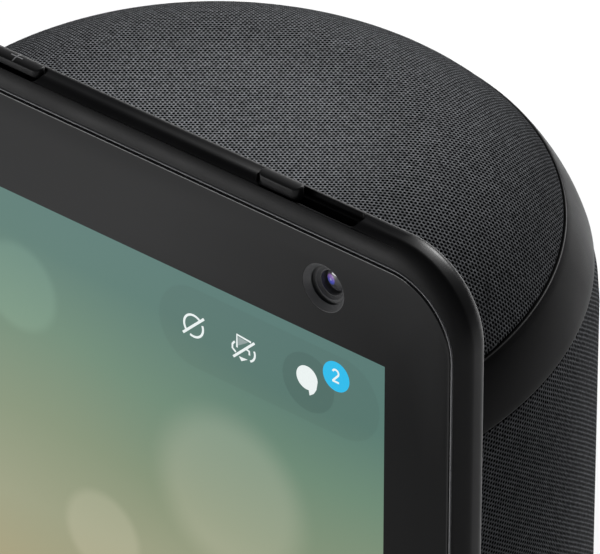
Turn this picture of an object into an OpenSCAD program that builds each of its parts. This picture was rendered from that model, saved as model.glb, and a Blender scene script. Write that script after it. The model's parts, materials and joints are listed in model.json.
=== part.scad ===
// Smart display on a turning speaker base.
// Frame: origin on the table, on the turning axis. +Z up, the screen faces -Y. Sizes in mm.

/* [Speaker body] */
// Radius of the fabric drum
drum_r = 69.5; // [69:0.5:72]
// Height of the drum's flat top above the table
drum_top = 170; // [168:1:172]
// Radius of the rounded shoulder between the side and the top
shoulder_r = 36.8; // [36:0.1:39]
// Height of the collar's lower edge at the turning axis
collar_low = 137.9; // [136:0.1:139]
// Height of the collar's upper edge at the turning axis
collar_high = 150.1; // [149:0.1:151]
// Slope of both collar edges, rising towards the back, in degrees
collar_tilt = 6.3; // [5:0.1:7]
// Thickness of the knitted fabric
fabric_t = 0.8; // [0.6:0.1:1]

/* [Base] */
// Radius of the fixed plinth
plinth_r = 66; // [65:0.5:67]
// Height of the plinth's top edge
plinth_top = 19; // [18.5:0.5:19]
// Radius of the rubber foot
foot_r = 52; // [48:1:54]
// Radius of the power inlet's pocket
inlet_r = 5.2; // [5:0.1:5.3]

/* [Display] */
// Width of the display
display_w = 251; // [250:0.5:252]
// Height of the display's top edge above the table
display_top = 230; // [229:0.5:232]
// Height of the display's bottom edge above the table
display_low = 47.3; // [45:0.1:50]
// Distance of the glass face in front of the turning axis
glass_front = 82; // [82:0.1:83]
// Depth of the display's rounded rim, front to back
rim_d = 7.2; // [7:0.1:7.6]
// Width of the lit area
active_w = 217; // [214:1:218]
// Height of the lit area
active_h = 135.6; // [133:0.1:136]
// Radius of the cover glass's corners
glass_corner_r = 12.7; // [11:0.1:14]

/* [Controls] */
// Distance between the middles of neighbouring buttons
button_pitch = 25.2; // [24:0.1:28]
// Length of a button cap
button_l = 11.6; // [10:0.1:13]
// Width of the button caps and the shutter knob
cap_w = 2.6; // [2.2:0.1:2.7]
// Travel of a button
button_travel = 0.8; // [0.6:0.1:1]
// Length of the shutter's knob
knob_l = 8.8; // [8:0.1:10]
// Travel of the shutter
shutter_travel = 12.5; // [12:0.1:12.6]

/* [Drive] */
// Gear module
gear_m = 1.25; // [1.25:0.05:1.25]
// Teeth on the fixed sun gear
sun_teeth = 40; // [40:1:40]
// Teeth on the motor's pinion
pinion_teeth = 16; // [16:1:16]

/* [Hidden] */
$fn = 96;
eps = 0.01;
slab = 0.2;

// Speaker body
shoulder_z = drum_top - shoulder_r;
drum_low = 20;
skirt_top = 25;
tray_t = 3;
tray_r = 64.9;
shell_t = 2.5;
skin_gap = 0.1;
band_inset = -0.3;
band_t = 3.9;

// Turning joint
spindle_r = 12;
spindle_top = 35;
spindle_bore = 8;
running_gap = 0.05;
seat_r = 18;
seat_z = 17;
bush_r = 14;
hub_r = 17;
hub_low = 18;
hub_top = 32;
clip_z = 32.7;

// Drive
pressure_angle = 20;
mesh_distance = gear_m * (sun_teeth + pinion_teeth) / 2;
gear_low = 8;
gear_high = 14;
shaft_r = 1.5;
motor_r = 15.5;
motor_low = drum_low + tray_t;
motor_h = 8;

// Inlet, at the back of the plinth
inlet_z = 11.3;
inlet_face = 65;
inlet_depth = 6;
boss_half = 9;
boss_low = 5.1;
boss_top = 17.6;
boss_front = 57.4;
stop_r = 56;
stop_half = 2.2;
screw_circle = 57;

// Loudspeakers and electronics
box_front = -42;
box_back = 16;
box_low = 37.2;
box_high = 108;
box_wall = 3;
woofer_z = 72.6;
tweeter_x = 40;
tweeter_z = 123.2;
tweeter_turn = 38;
board_y = 22;

// Tilt hinge
hinge_y = -66;
hinge_z = 144.4;
knuckle_r = 4;
pin_r = 2;
notch_half = 34;
notch_low = 132.6;
notch_high = 154.4;
notch_back = -56;

// Display, measured from front to back
back_y = -glass_front + 11.5;
glass_t = 1.1;
side_rim = 2.6;
top_rim = 4.5;
low_rim = 3;
gasket_w = 0.7;
control_y = -glass_front + 2.8;
opening_w = display_w - 2 * side_rim;
opening_low = display_low + low_rim;
opening_top = display_top - top_rim;
active_top = opening_top - 19.8;
active_mid_z = active_top - active_h / 2;
lcd_front = -glass_front + glass_t + 0.1;
lcd_back = lcd_front + 2.4;
light_back = lcd_back + 2.1;
frame_back = light_back + 1.1;

// Controls
slot_w = 3.4;
slot_gap = 0.5;
slot_depth = 1.6;
cap_proud = 0.9;
stem_w = 1.4;
stem_slot_w = 2;
crown_r = 2.2;
switch_top = opening_top - 1.2;
shutter_x = 79.4;
camera_x = 95.2;
camera_z = active_top + 9.8;

// ---------- shared shapes ----------

// Rounded rectangle with true arcs
module rounded_rect(w, h, r) {
  square([w - 2 * r, h], center = true);
  square([w, h - 2 * r], center = true);
  for (sx = [-1, 1], sy = [-1, 1])
    translate([sx * (w / 2 - r), sy * (h / 2 - r)]) circle(r);
}

// Upright rounded plate between two heights and two depths
module upright_plate(w, low, high, r, y0, y1) {
  translate([0, y1, (low + high) / 2])
    rotate([90, 0, 0]) linear_extrude(y1 - y0) rounded_rect(w, high - low, r);
}

// Ring with straight walls
module ring(outer, inner, low, high) {
  translate([0, 0, low]) rotate_extrude()
    translate([inner, 0]) square([outer - inner, high - low]);
}

// The drum's outer form, shrunk by inset all over, with its floor at low
module drum_form(inset, low) {
  flat = drum_r - shoulder_r;
  rotate_extrude($fn = 128) union() {
    translate([0, low]) square([flat, drum_top - inset - low]);
    translate([0, low]) square([drum_r - inset, shoulder_z - low]);
    intersection() {
      translate([flat, shoulder_z]) circle(shoulder_r - inset);
      translate([flat - eps, shoulder_z - eps]) square(shoulder_r);
    }
  }
}

// Shell between two insets
module drum_shell(outer_inset, inner_inset, low) {
  difference() {
    drum_form(outer_inset, low);
    drum_form(inner_inset, low - 1);
  }
}

// Everything above a sloped plane that crosses the axis at height h
module above(h) {
  translate([0, 0, h]) rotate([collar_tilt, 0, 0])
    translate([-150, -150, 0]) cube([300, 300, 200]);
}

// Everything below that plane
module below(h) {
  translate([0, 0, h]) rotate([collar_tilt, 0, 0])
    translate([-150, -150, -200]) cube([300, 300, 200]);
}

// Opening at the front of the drum that the hinge arm comes through
module notch(side_gap = 0) {
  translate([-notch_half - side_gap, -drum_r - 5, notch_low - side_gap])
    cube([2 * (notch_half + side_gap), drum_r + 5 + notch_back + side_gap,
          notch_high - notch_low + 2 * side_gap]);
}

// Cylinder along Y from y0 to y1
module along_y(r, x, z, y0, y1) {
  translate([x, y1, z]) rotate([90, 0, 0]) cylinder(r = r, h = y1 - y0);
}

// Cylinder along X on the hinge axis
module on_hinge(r, x0, x1) {
  translate([x0, hinge_y, hinge_z]) rotate([0, 90, 0]) cylinder(r = r, h = x1 - x0);
}

// Point of an involute, t degrees of roll from a base circle of radius rb
function involute(rb, t) =
  [rb * (cos(t) + t * PI / 180 * sin(t)), rb * (sin(t) - t * PI / 180 * cos(t))];

function turned(p, a) = [p[0] * cos(a) - p[1] * sin(a), p[0] * sin(a) + p[1] * cos(a)];

// Outline of one tooth, centred on +X, with steps points on each flank
function tooth_outline(teeth, play, steps = 5) =
  let (rp = gear_m * teeth / 2)
  let (rb = rp * cos(pressure_angle))
  let (ra = rp + 0.9 * gear_m)
  let (roll = tan(acos(rb / ra)) * 180 / PI)
  let (half = 90 / teeth + tan(pressure_angle) * 180 / PI - pressure_angle - play / rp * 90 / PI)
  let (rr = rp - 1.5 * gear_m)
  let (flank = [for (i = [0 : steps]) turned(involute(rb, roll * i / steps), -half)])
  concat(
    [turned([rr, 0], -half)],
    flank,
    [for (i = [steps : -1 : 0]) [flank[i][0], -flank[i][1]]],
    [turned([rr, 0], half)]);

// Spur gear standing on z = low; phase turns the first tooth away from +X
module spur_gear(teeth, bore, low, high, phase = 0, play = 0.16) {
  root = gear_m * teeth / 2 - 1.2 * gear_m;
  translate([0, 0, low]) linear_extrude(high - low) difference() {
    union() {
      circle(root);
      for (i = [0 : teeth - 1])
        rotate(phase + 360 / teeth * i) polygon(tooth_outline(teeth, play));
    }
    circle(bore);
  }
}

// Countersunk-looking machine screw, head down at z = 0
module screw(head_r, head_h, shank_r, length) {
  cylinder(r = head_r, h = head_h);
  translate([0, 0, head_h - eps]) cylinder(r = shank_r, h = length + eps);
}

// ---------- fixed base ----------

module foot_pad() {
  color([0.06, 0.06, 0.065]) rotate_extrude() polygon([
    [0, 0], [foot_r - 1, 0], [foot_r, 0.6], [foot_r, 2], [0, 2]]);
}

module base_plate() {
  color([0.55, 0.56, 0.58]) difference() {
    union() {
      translate([0, 0, 2]) cylinder(r = 61.5, h = 3);
      translate([0, 0, 2]) cylinder(r = seat_r, h = seat_z - 2);
      translate([0, 0, 2]) cylinder(r = spindle_r, h = spindle_top - 2);
    }
    translate([0, 0, 1]) cylinder(r = spindle_bore, h = spindle_top);
    ring(spindle_r + 1, spindle_r - 1.2, clip_z - 0.1, clip_z + 1.1);
    for (a = [45 : 90 : 315])
      rotate(a) translate([screw_circle, 0, 1]) cylinder(r = 1.7, h = 5);
    for (a = [45 : 90 : 315])
      rotate(a) translate([screw_circle, 0, 1]) cylinder(r = 3.2, h = 2.8);
  }
}

module plinth() {
  color([0.09, 0.09, 0.095]) difference() {
    union() {
      rotate_extrude($fn = 128) polygon([
        [61.6, 2], [plinth_r - 1.2, 2], [plinth_r, 3.2], [plinth_r, plinth_top - 1],
        [plinth_r - 1, plinth_top], [62, plinth_top], [62, boss_low], [61.6, boss_low]]);
      for (a = [45 : 90 : 315])
        rotate(a) translate([screw_circle, 0, boss_low]) cylinder(r = 4, h = 7.4);
      for (a = [45 : 90 : 315])
        rotate(a) translate([screw_circle, -1, boss_low]) cube([5.5, 2, 7.4]);
      translate([-boss_half, boss_front, boss_low])
        cube([2 * boss_half, inlet_face - boss_front, boss_top - boss_low]);
      translate([-stop_half, stop_r + 1.6, boss_top - 1]) cube([2 * stop_half, 4.5, 2.9]);
    }
    along_y(inlet_r, 0, inlet_z, inlet_face - inlet_depth, plinth_r + 2);
    along_y(3, 0, inlet_z, boss_front - 1, inlet_face);
    translate([-boss_half, inlet_face, 3]) cube([2 * boss_half, 5, 14]);
    for (a = [45 : 90 : 315])
      rotate(a) translate([screw_circle, 0, 4]) cylinder(r = 1.25, h = 7);
  }
}

module base_screws() {
  color([0.7, 0.71, 0.72]) for (a = [45 : 90 : 315])
    rotate(a) translate([screw_circle, 0, 2.1]) screw(3, 1.6, 1.2, 6.6);
}

module power_jack() {
  color([0.12, 0.12, 0.13]) difference() {
    translate([-4.4, 47.8, inlet_z - 4.2]) cube([8.8, boss_front - 47.85, 8.4]);
    along_y(2.85, 0, inlet_z, 49.5, 60);
  }
}

module jack_pin() {
  color([0.85, 0.84, 0.8]) along_y(1.05, 0, inlet_z, 49.5, 57);
}

module sun_gear() {
  color([0.88, 0.87, 0.83]) spur_gear(sun_teeth, seat_r + 0.05, gear_low, gear_high);
}

module thrust_washer() {
  color([0.93, 0.93, 0.9]) ring(seat_r - 0.3, spindle_r + 0.2, seat_z, hub_low - 0.05);
}

module glide_ring() {
  color([0.93, 0.93, 0.9]) ring(64.6, 62.2, plinth_top, drum_low - 0.1);
}

module retaining_clip() {
  color([0.3, 0.31, 0.33]) difference() {
    ring(15, spindle_r - 1.1, clip_z, clip_z + 1);
    translate([-3, 0, clip_z - 1]) cube([6, 20, 3]);
  }
}

module cable_guide() {
  color([0.8, 0.8, 0.76]) union() {
    ring(spindle_bore - 0.1, 6.2, 5, spindle_top + 1);
    ring(9.4, 6.2, spindle_top + 0.05, spindle_top + 1.6);
  }
}

// ---------- turning speaker body ----------

box_posts = [[-44, -26], [44, -26], [-48, 10], [55.5, 12]];

module turntable() {
  color([0.2, 0.2, 0.21]) difference() {
    union() {
      translate([0, 0, drum_low]) cylinder(r = tray_r, h = tray_t);
      translate([0, 0, hub_low]) cylinder(r = hub_r, h = hub_top - hub_low);
      for (p = box_posts)
        translate([p[0], p[1], drum_low]) cylinder(r = 3.5, h = box_low - drum_low);
      translate([-stop_half, -stop_r - 2.4, boss_top + 0.3])
        cube([2 * stop_half, 5, drum_low - boss_top]);
    }
    translate([0, 0, hub_low - 1]) cylinder(r = bush_r, h = 20);
    translate([mesh_distance, 0, hub_low]) cylinder(r = 4, h = 8);
    for (p = box_posts)
      translate([p[0], p[1], box_low - 6]) cylinder(r = 1.2, h = 8);
  }
}

module hub_bush() {
  color([0.72, 0.56, 0.3]) ring(bush_r, spindle_r + running_gap, hub_low, hub_top);
}

module skirt_ring() {
  color([0.09, 0.09, 0.095]) rotate_extrude($fn = 128) polygon([
    [65, drum_low], [drum_r - 1.7, drum_low], [drum_r - 0.5, drum_low + 1.2],
    [drum_r - 0.5, skirt_top], [65, skirt_top]]);
}

module body_shell() {
  color([0.16, 0.16, 0.17]) difference() {
    intersection() {
      drum_shell(fabric_t + skin_gap, fabric_t + skin_gap + shell_t, skirt_top);
      below(collar_low - 0.1);
    }
    notch(0.3);
    for (row = [0 : 5], column = [-5 : 5])
      rotate(column * 12) translate([-3, -drum_r, 36 + row * 15]) cube([6, 8, 11]);
  }
}

module side_fabric() {
  color([0.2, 0.205, 0.215]) difference() {
    intersection() {
      drum_shell(0, fabric_t, skirt_top);
      below(collar_low);
    }
    notch(0.3);
  }
}

module collar_band() {
  color([0.08, 0.08, 0.085]) difference() {
    intersection() {
      drum_shell(band_inset, band_t, 100);
      above(collar_low + 0.05);
      below(collar_high - 0.05);
    }
    notch(0.1);
  }
}

module top_dome() {
  color([0.16, 0.16, 0.17]) difference() {
    intersection() {
      drum_shell(fabric_t + skin_gap, fabric_t + skin_gap + shell_t, 100);
      above(collar_high + 0.1);
    }
    notch(0.3);
  }
}

module top_fabric() {
  color([0.2, 0.205, 0.215]) difference() {
    intersection() {
      drum_shell(0, fabric_t, 100);
      above(collar_high);
    }
    notch(0.3);
  }
}

module hinge_pocket() {
  wall = 1.6;
  color([0.08, 0.08, 0.085]) difference() {
    intersection() {
      drum_form(band_inset, 100);
      notch(0);
    }
    translate([-notch_half + wall, -drum_r - 5, notch_low + wall])
      cube([2 * (notch_half - wall), drum_r + 5 + notch_back - wall,
            notch_high - notch_low - 2 * wall]);
    translate([-24, notch_back - 5, notch_low + wall]) cube([48, 10, 16.4]);
  }
}

// ---------- loudspeakers ----------

module box_form(grow) {
  intersection() {
    translate([0, 0, box_low - grow]) cylinder(r = 60 + grow, h = box_high - box_low + 2 * grow);
    translate([-70, box_front - grow, 0]) cube([140, box_back - box_front + 2 * grow, 200]);
  }
}

module speaker_box() {
  color([0.14, 0.14, 0.15]) difference() {
    box_form(0);
    box_form(-box_wall);
    along_y(34, 0, woofer_z, box_front - 1, box_front + 5);
  }
}

module woofer_basket() {
  color([0.3, 0.31, 0.33]) translate([0, box_front, woofer_z]) rotate([-90, 0, 0])
    rotate_extrude() polygon([
      [35.4, -0.05], [35.4, -3], [33.2, -3], [33.2, -0.5], [33, 0], [22, 17.6], [9, 17.6],
      [9, 19], [24, 19], [33.9, 2.5], [33.9, -0.05]]);
}

module woofer_magnet() {
  color([0.22, 0.22, 0.24]) along_y(24, 0, woofer_z, box_front + 19.1, box_front + 36);
}

module woofer_cone() {
  color([0.1, 0.1, 0.11]) translate([0, box_front, woofer_z]) rotate([-90, 0, 0])
    rotate_extrude() polygon([[28.4, -1.6], [29.2, -1.6], [9.2, 12.4], [9.2, 17], [8.5, 17], [8.5, 12]]);
}

module woofer_surround() {
  color([0.05, 0.05, 0.055]) translate([0, box_front, woofer_z]) rotate([-90, 0, 0])
    rotate_extrude() difference() {
      translate([31.15, -1.7]) circle(1.9, $fn = 32);
      translate([31.15, -1.7]) circle(1.3, $fn = 32);
      translate([28, -1.7]) square([6, 6]);
    }
}

module woofer_dust_cap() {
  color([0.08, 0.08, 0.085]) translate([0, box_front, woofer_z]) rotate([-90, 0, 0])
    intersection() {
      translate([0, 0, 21.9]) difference() {
        sphere(16);
        sphere(15.4);
      }
      cylinder(r = 10.95, h = 10.2);
    }
}

module at_tweeter(side) {
  translate([side * tweeter_x, -24, tweeter_z]) rotate([0, 0, side * tweeter_turn]) children();
}

module tweeter_bracket() {
  color([0.16, 0.16, 0.17]) for (side = [-1, 1]) difference() {
    union() {
      translate([side * 39 - 9, -36, box_high]) cube([18, 26, 2]);
      at_tweeter(side) translate([-15, -2, -14]) cube([30, 3, 28.5]);
    }
    at_tweeter(side) along_y(11, 0, 0, -10, 10);
    translate([-80, -80, box_high - 30]) cube([160, 160, 30]);
  }
}

module tweeter_bodies() {
  color([0.24, 0.25, 0.27]) for (side = [-1, 1]) at_tweeter(side) difference() {
    union() {
      along_y(13, 0, 0, -4, -2.05);
      along_y(10.8, 0, 0, -4, 8);
    }
    along_y(8.2, 0, 0, -5, -1);
  }
}

module tweeter_domes() {
  color([0.62, 0.63, 0.65]) for (side = [-1, 1]) at_tweeter(side)
    translate([0, 4.4, 0]) intersection() {
      sphere(10);
      along_y(8, 0, 0, -12, -5.45);
    }
}

// ---------- electronics and drive ----------

module main_board() {
  color([0.05, 0.28, 0.16]) union() {
    translate([-40, board_y, 46]) cube([80, 1.6, 62]);
    for (x = [-34, 34], z = [52, 102])
      along_y(2.6, x, z, box_back, board_y);
  }
}

module board_shields() {
  color([0.75, 0.76, 0.77]) union() {
    translate([-35, board_y + 1.6, 56]) cube([26, 3, 30]);
    translate([12, board_y + 1.6, 52]) cube([18, 2.2, 18]);
    translate([12, board_y + 1.6, 90]) cube([20, 4, 10]);
  }
}

module heat_sink() {
  color([0.78, 0.79, 0.8]) union() {
    translate([-35, board_y + 4.6, 56]) cube([26, 3, 30]);
    for (i = [0 : 6])
      translate([-35 + i * 4.1, board_y + 7.6 - eps, 56]) cube([1.4, 12, 30]);
  }
}

module drive_motor() {
  color([0.68, 0.69, 0.71]) translate([mesh_distance, 0, 0]) difference() {
    union() {
      translate([0, 0, motor_low]) cylinder(r = motor_r, h = motor_h);
      translate([0, 0, drum_low + 0.4]) cylinder(r = 3.8, h = 3);
    }
    translate([0, 0, drum_low]) cylinder(r = shaft_r + running_gap, h = 7.1);
  }
}

module motor_screws() {
  color([0.7, 0.71, 0.72]) for (a = [45 : 90 : 315])
    translate([mesh_distance, 0, motor_low + motor_h + 0.02]) rotate(a) translate([12.4, 0, 0])
      cylinder(r = 2, h = 1.4);
}

module motor_pinion() {
  low = gear_low + 0.2;
  color([0.82, 0.72, 0.5]) translate([mesh_distance, 0, 0]) union() {
    spur_gear(pinion_teeth, 1.4, low, gear_high - 0.2, 180 / pinion_teeth);
    translate([0, 0, low]) cylinder(r = shaft_r, h = drum_low + 6.8 - low);
  }
}

// ---------- hinge arm ----------

module hinge_arm() {
  rib_w = 10;
  knuckle_half = 8;
  color([0.34, 0.35, 0.37]) difference() {
    union() {
      translate([-26, -34, box_high]) cube([52, 48, 4]);
      for (side = [-1, 1]) {
        translate([side * 16 + rib_w / 2, 0, 0]) rotate([90, 0, -90]) linear_extrude(rib_w)
          polygon([[-14, box_high + 3], [34, box_high + 3], [50, 130], [56, 137],
                   [62.6, 140.6], [66, 140.6], [66, 148], [56, 148], [30, 132]]);
        on_hinge(knuckle_r, side * 16 - knuckle_half, side * 16 + knuckle_half);
      }
    }
    on_hinge(pin_r, -30, 30);
  }
}

module arm_screws() {
  color([0.7, 0.71, 0.72]) for (x = [-23.5, 23.5], y = [-28, 8])
    translate([x, y, box_high + 4.02]) cylinder(r = 2, h = 1.6);
}

module hinge_pin() {
  color([0.75, 0.76, 0.77]) on_hinge(pin_r, -29.9, 29.9);
}

module hinge_washers() {
  color([0.8, 0.81, 0.82]) for (x = [-24.36, -7.96, 7.68, 24.08]) difference() {
    on_hinge(3.8, x, x + 0.28);
    on_hinge(pin_r, -30, 30);
  }
}

// ---------- display ----------

// Outer form: a soft-edged rim with a shallow crowned back
module display_form() {
  sections = [
    [0, 1.2], [0.4, 0.6], [1, 0.2], [2, 0], [rim_d - 3, 0], [rim_d - 1.7, 0.5],
    [rim_d - 0.8, 1.4], [rim_d - 0.2, 2.9], [11.5 - slab, 32]];
  hull() for (s = sections)
    upright_plate(display_w - 2 * s[1], display_low + s[1], display_top - s[1],
                  16 - min(s[1], 6), -glass_front + s[0], -glass_front + s[0] + slab, $fn = 32);
}

// Hollow of the rear cover, behind the opening for the glass
module display_hollow() {
  upright_plate(opening_w, opening_low, opening_top, glass_corner_r + gasket_w,
                -glass_front - 2, -glass_front + rim_d - 1.4);
  hull() {
    upright_plate(opening_w - 8, opening_low + 4, opening_top - 4, 9,
                  -glass_front + rim_d - 1.8, -glass_front + rim_d - 1.4, $fn = 32);
    upright_plate(display_w - 72, display_low + 36, display_top - 36, 9,
                  back_y - 1.9, back_y - 1.5, $fn = 32);
  }
}

// Slot with round ends in the rim's top, centred on x, from z upwards
module top_slot(x, length, width, z) {
  translate([x, control_y, z]) linear_extrude(20) {
    square([length - width, width], center = true);
    for (s = [-1, 1])
      translate([s * (length - width) / 2, 0]) circle(width / 2, $fn = 48);
  }
}

button_x = [-button_pitch, 0, button_pitch];
shutter_slot_l = knob_l + shutter_travel + 1.2;
shutter_slot_x = shutter_x + shutter_slot_l / 2 - 0.6;

module rear_cover() {
  color([0.11, 0.11, 0.115]) difference() {
    display_form();
    display_hollow();
    for (x = button_x) {
      top_slot(x, button_l + 2 * slot_gap, slot_w, display_top - slot_depth);
      top_slot(x, 7, stem_slot_w, opening_top - 1);
    }
    top_slot(shutter_slot_x, shutter_slot_l, slot_w, display_top - slot_depth);
    top_slot(shutter_slot_x, shutter_travel + 7.4, stem_slot_w, opening_top - 1);
    translate([-30.4, back_y - 4, hinge_z - 4.4]) cube([60.8, 6, 8.8]);
    for (x = [-33, 33], z = [hinge_z - 9, hinge_z + 9])
      along_y(1.7, x, z, back_y - 3, back_y + 1);
  }
}

module glass_gasket() {
  color([0.03, 0.03, 0.032]) difference() {
    upright_plate(opening_w - 0.1, opening_low + 0.05, opening_top - 0.05,
                  glass_corner_r + gasket_w, -glass_front + 0.25, -glass_front + glass_t);
    upright_plate(opening_w - 2 * gasket_w, opening_low + gasket_w, opening_top - gasket_w,
                  glass_corner_r, -glass_front - 1, -glass_front + glass_t + 1);
  }
}

module front_glass() {
  color([0.05, 0.05, 0.055]) upright_plate(
    opening_w - 2 * gasket_w - 0.1, opening_low + gasket_w + 0.05,
    opening_top - gasket_w - 0.05, glass_corner_r, -glass_front, -glass_front + glass_t);
}

module lcd_panel() {
  color([0.35, 0.5, 0.48]) upright_plate(active_w + 5, active_top - active_h - 2.5,
    active_top + 2.5, 1, lcd_front, lcd_back);
}

module backlight() {
  color([0.85, 0.86, 0.85]) upright_plate(active_w + 6, active_top - active_h - 3,
    active_top + 3, 1, lcd_back + 0.05, light_back);
}

module mid_frame() {
  color([0.5, 0.51, 0.53]) difference() {
    upright_plate(active_w + 3, opening_low + 13, active_top + 3.5, 4,
                  light_back + 0.05, frame_back);
    along_y(5, 0, active_mid_z - 50, light_back - 1, frame_back + 1);
  }
}

module display_board() {
  color([0.05, 0.28, 0.16]) union() {
    translate([-60, frame_back + 0.05, 82]) cube([120, 1, 36]);
    translate([-44, frame_back + 1, 88]) cube([22, 0.8, 22]);
    translate([14, frame_back + 1, 90]) cube([30, 0.8, 16]);
  }
}

module display_bracket() {
  color([0.34, 0.35, 0.37]) difference() {
    union() {
      translate([-36, frame_back + 0.05, hinge_z - 13]) cube([72, back_y - 1.6 - frame_back, 26]);
      translate([-30, back_y - 2, hinge_z - 4]) cube([60, 2, 8]);
      for (x = [[-29.6, -24.4], [-7.6, 7.6], [24.4, 29.6]]) {
        on_hinge(knuckle_r, x[0], x[1]);
        translate([x[0], back_y - 1, hinge_z - knuckle_r])
          cube([x[1] - x[0], hinge_y - back_y + 1, 2 * knuckle_r]);
      }
    }
    on_hinge(pin_r + running_gap, -40, 40);
  }
}

module bracket_screws() {
  color([0.7, 0.71, 0.72]) for (x = [-33, 33], z = [hinge_z - 9, hinge_z + 9])
    along_y(1.6, x, z, back_y - 1.54, back_y - 0.2);
}

module camera_housing() {
  color([0.1, 0.1, 0.105]) difference() {
    translate([camera_x - 6.2, lcd_front + 0.6, camera_z - 5.6]) cube([12.4, 3.9, 11.2]);
    translate([camera_x, lcd_front + 0.59, camera_z]) rotate([-90, 0, 0])
      cylinder(r1 = 4.5, r2 = 2.4, h = 1.8);
    along_y(2.4, camera_x, camera_z, lcd_front + 2, lcd_front + 4);
  }
}

module camera_lens() {
  color([0.12, 0.1, 0.3]) translate([camera_x, 0, camera_z]) intersection() {
    translate([0, lcd_front + 5.2, 0]) sphere(3.6);
    along_y(2.3, 0, 0, lcd_front + 1, lcd_front + 3.9);
  }
}

// ---------- controls on the rim ----------

module tact_switches() {
  color([0.8, 0.8, 0.76]) for (x = button_x)
    translate([x - 3, control_y - 1.5, opening_top - 5]) cube([6, 3, 5 - 1.2]);
}

module button_cap(x, length, low) {
  cap_top = display_top + cap_proud;
  intersection() {
    top_slot(x, length, cap_w, display_top - slot_depth + low);
    translate([x, control_y, cap_top - crown_r]) rotate([0, 90, 0])
      cylinder(r = crown_r, h = 60, center = true);
  }
  translate([x - 2.6, control_y - stem_w / 2, switch_top + low + 0.05])
    cube([5.2, stem_w, display_top - slot_depth - switch_top + 0.2]);
}

module mute_button() {
  color([0.12, 0.12, 0.125]) button_cap(button_x[0], button_l, button_travel + 0.1);
}

module volume_down_button() {
  color([0.12, 0.12, 0.125]) button_cap(button_x[1], button_l, button_travel + 0.1);
}

module volume_up_button() {
  color([0.12, 0.12, 0.125]) button_cap(button_x[2], button_l, button_travel + 0.1);
}

knob_x = shutter_x + knob_l / 2;
blade_y = lcd_front + 0.1;

module shutter_knob() {
  color([0.12, 0.12, 0.125]) union() {
    intersection() {
      top_slot(knob_x, knob_l, cap_w, display_top - slot_depth + 0.1);
      translate([knob_x, control_y, display_top + cap_proud - crown_r]) rotate([0, 90, 0])
        cylinder(r = crown_r, h = 60, center = true);
    }
    translate([knob_x - 3, control_y - stem_w / 2, opening_top - 2])
      cube([6, stem_w, display_top - slot_depth - opening_top + 2.2]);
  }
}

module shutter_blade() {
  color([0.7, 0.71, 0.72]) union() {
    translate([knob_x - 5.8, blade_y, camera_z - 5.4]) cube([12.4, 0.3, 13.6]);
    translate([knob_x - 3, blade_y, opening_top - 2.5]) cube([6, control_y + stem_w / 2 - blade_y, 0.5]);
  }
}

foot_pad();
base_plate();
plinth();
base_screws();
power_jack();
jack_pin();
sun_gear();
thrust_washer();
glide_ring();
retaining_clip();
cable_guide();
turntable();
hub_bush();
skirt_ring();
body_shell();
side_fabric();
collar_band();
top_dome();
top_fabric();
hinge_pocket();
speaker_box();
woofer_basket();
woofer_magnet();
woofer_cone();
woofer_surround();
woofer_dust_cap();
tweeter_bracket();
tweeter_bodies();
tweeter_domes();
main_board();
board_shields();
heat_sink();
drive_motor();
motor_screws();
hinge_arm();
arm_screws();
hinge_pin();
hinge_washers();
motor_pinion();
rear_cover();
glass_gasket();
front_glass();
lcd_panel();
backlight();
mid_frame();
display_board();
display_bracket();
bracket_screws();
camera_housing();
camera_lens();
tact_switches();
mute_button();
volume_down_button();
volume_up_button();
shutter_knob();
shutter_blade();
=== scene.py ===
import json
import math

import bmesh
import bpy
import numpy as np
from mathutils import Matrix, Vector


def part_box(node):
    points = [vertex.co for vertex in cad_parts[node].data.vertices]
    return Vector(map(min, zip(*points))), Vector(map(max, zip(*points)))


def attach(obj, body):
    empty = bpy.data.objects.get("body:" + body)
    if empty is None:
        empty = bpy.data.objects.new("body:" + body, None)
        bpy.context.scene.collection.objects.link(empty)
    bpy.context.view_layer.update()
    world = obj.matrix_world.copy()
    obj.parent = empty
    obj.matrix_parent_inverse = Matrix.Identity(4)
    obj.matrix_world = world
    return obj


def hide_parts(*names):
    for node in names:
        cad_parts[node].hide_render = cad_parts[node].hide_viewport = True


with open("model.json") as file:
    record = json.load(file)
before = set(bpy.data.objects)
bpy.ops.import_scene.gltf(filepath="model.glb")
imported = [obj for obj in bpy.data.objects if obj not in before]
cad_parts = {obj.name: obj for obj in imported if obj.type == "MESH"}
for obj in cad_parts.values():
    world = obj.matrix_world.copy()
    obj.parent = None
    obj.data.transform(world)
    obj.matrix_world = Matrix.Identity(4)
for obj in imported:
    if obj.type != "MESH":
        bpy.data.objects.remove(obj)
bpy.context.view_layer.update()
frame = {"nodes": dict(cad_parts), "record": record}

MM = 0.001
SCENE = bpy.context.scene


def box_mm(node):
    low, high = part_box(node)
    return np.array(low) / MM, np.array(high) / MM


# ---------- named sizes, in millimetres ----------
SHELL_LOW, SHELL_HIGH = box_mm("rear_cover")
GLASS_LOW, GLASS_HIGH = box_mm("front_glass")
DRUM_LOW = box_mm("side_fabric")[0]
TOP_HIGH = box_mm("top_fabric")[1]
UP_LOW, UP_HIGH = box_mm("volume_up_button")
DOWN_LOW, DOWN_HIGH = box_mm("volume_down_button")
MUTE_LOW, MUTE_HIGH = box_mm("mute_button")
KNOB_LOW, KNOB_HIGH = box_mm("shutter_knob")
WELL_LOW, WELL_HIGH = box_mm("camera_housing")
LENS_LOW, LENS_HIGH = box_mm("camera_lens")

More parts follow.
